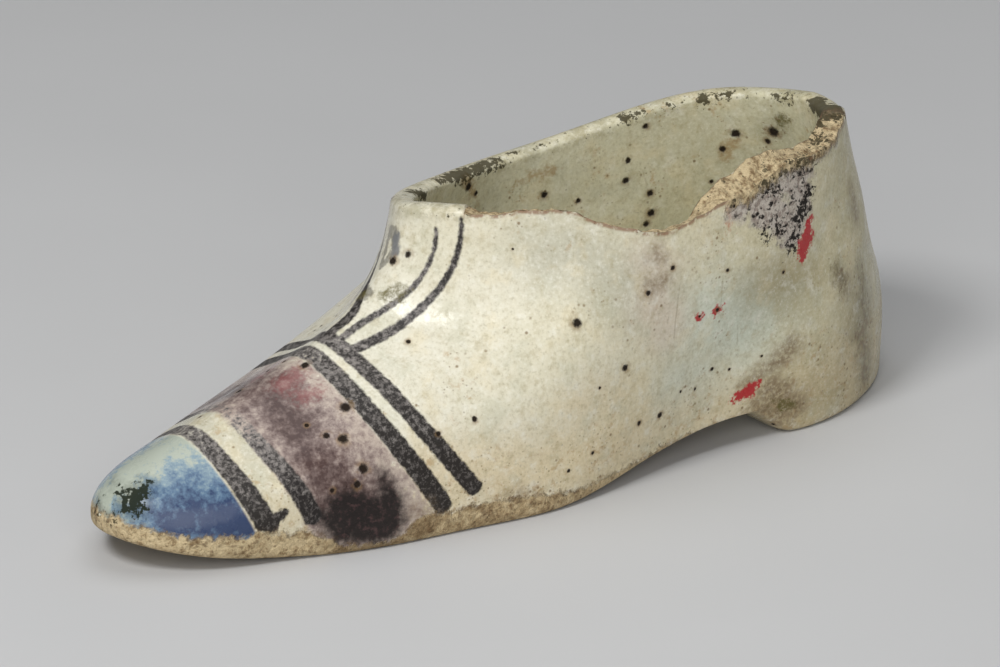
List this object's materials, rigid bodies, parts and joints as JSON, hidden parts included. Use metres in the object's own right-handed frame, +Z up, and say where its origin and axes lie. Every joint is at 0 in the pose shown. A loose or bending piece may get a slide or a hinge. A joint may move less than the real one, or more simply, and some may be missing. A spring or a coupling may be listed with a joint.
{
  "type": "pottery shoe ornament",
  "caption": "Small hollow glazed pottery shoe with a pointed toe, a tall open collar broken along one side, a thin sole with a raised arch and a low heel.",
  "frame": {"origin": "on the floor, under the middle of the shoe's box", "axes": "+Z up, toe towards -Y, the broken side of the collar towards +X"},
  "size_m": [0.0372, 0.1058, 0.0341],
  "materials": {
    "cream_glaze": "glossy cream glaze with painted bands, pinholes and stains",
    "bare_clay": "bare fired buff body, rough and granular",
    "stained_glaze": "cream glaze with brown stains"
  },
  "bodies": {
    "root": {"upper": "cream_glaze", "sole": "bare_clay", "heel": "stained_glaze"}
  },
  "joints": []
}
